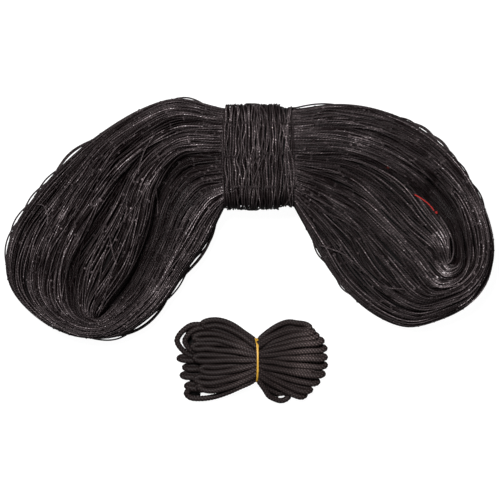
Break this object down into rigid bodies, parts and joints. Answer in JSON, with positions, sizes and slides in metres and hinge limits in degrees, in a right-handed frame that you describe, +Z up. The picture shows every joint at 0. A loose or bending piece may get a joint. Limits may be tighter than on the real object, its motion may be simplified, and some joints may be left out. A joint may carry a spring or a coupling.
{
  "type": "gathered cat safety net with its fixing cord",
  "caption": "Black knotted-twine cat safety net gathered into a bow-shaped hank and bound at its waist, with a small banded hank of braided fixing cord beside it.",
  "frame": {"origin": "on the surface that both hanks lie on, at the middle of the whole part's outline", "axes": "+X along the net hank's length, +Y from the cord hank towards the bound waist, +Z up"},
  "size_m": [0.4292, 0.2672, 0.0605],
  "materials": {
    "net_twine": "twisted polyethylene twine, slightly shiny, knotted",
    "wrap_twine": "twisted polyethylene twine, slightly shiny, wound tight",
    "marker_yarn": "soft spun yarn, matt",
    "braided_cord": "braided cord, matt",
    "elastic": "flat elastic, satin"
  },
  "bodies": {
    "root": {"net_hank": "net_twine", "waist_wrap": "wrap_twine", "marker_thread": "marker_yarn", "cord_hank": "braided_cord", "elastic_band": "elastic"}
  },
  "joints": []
}
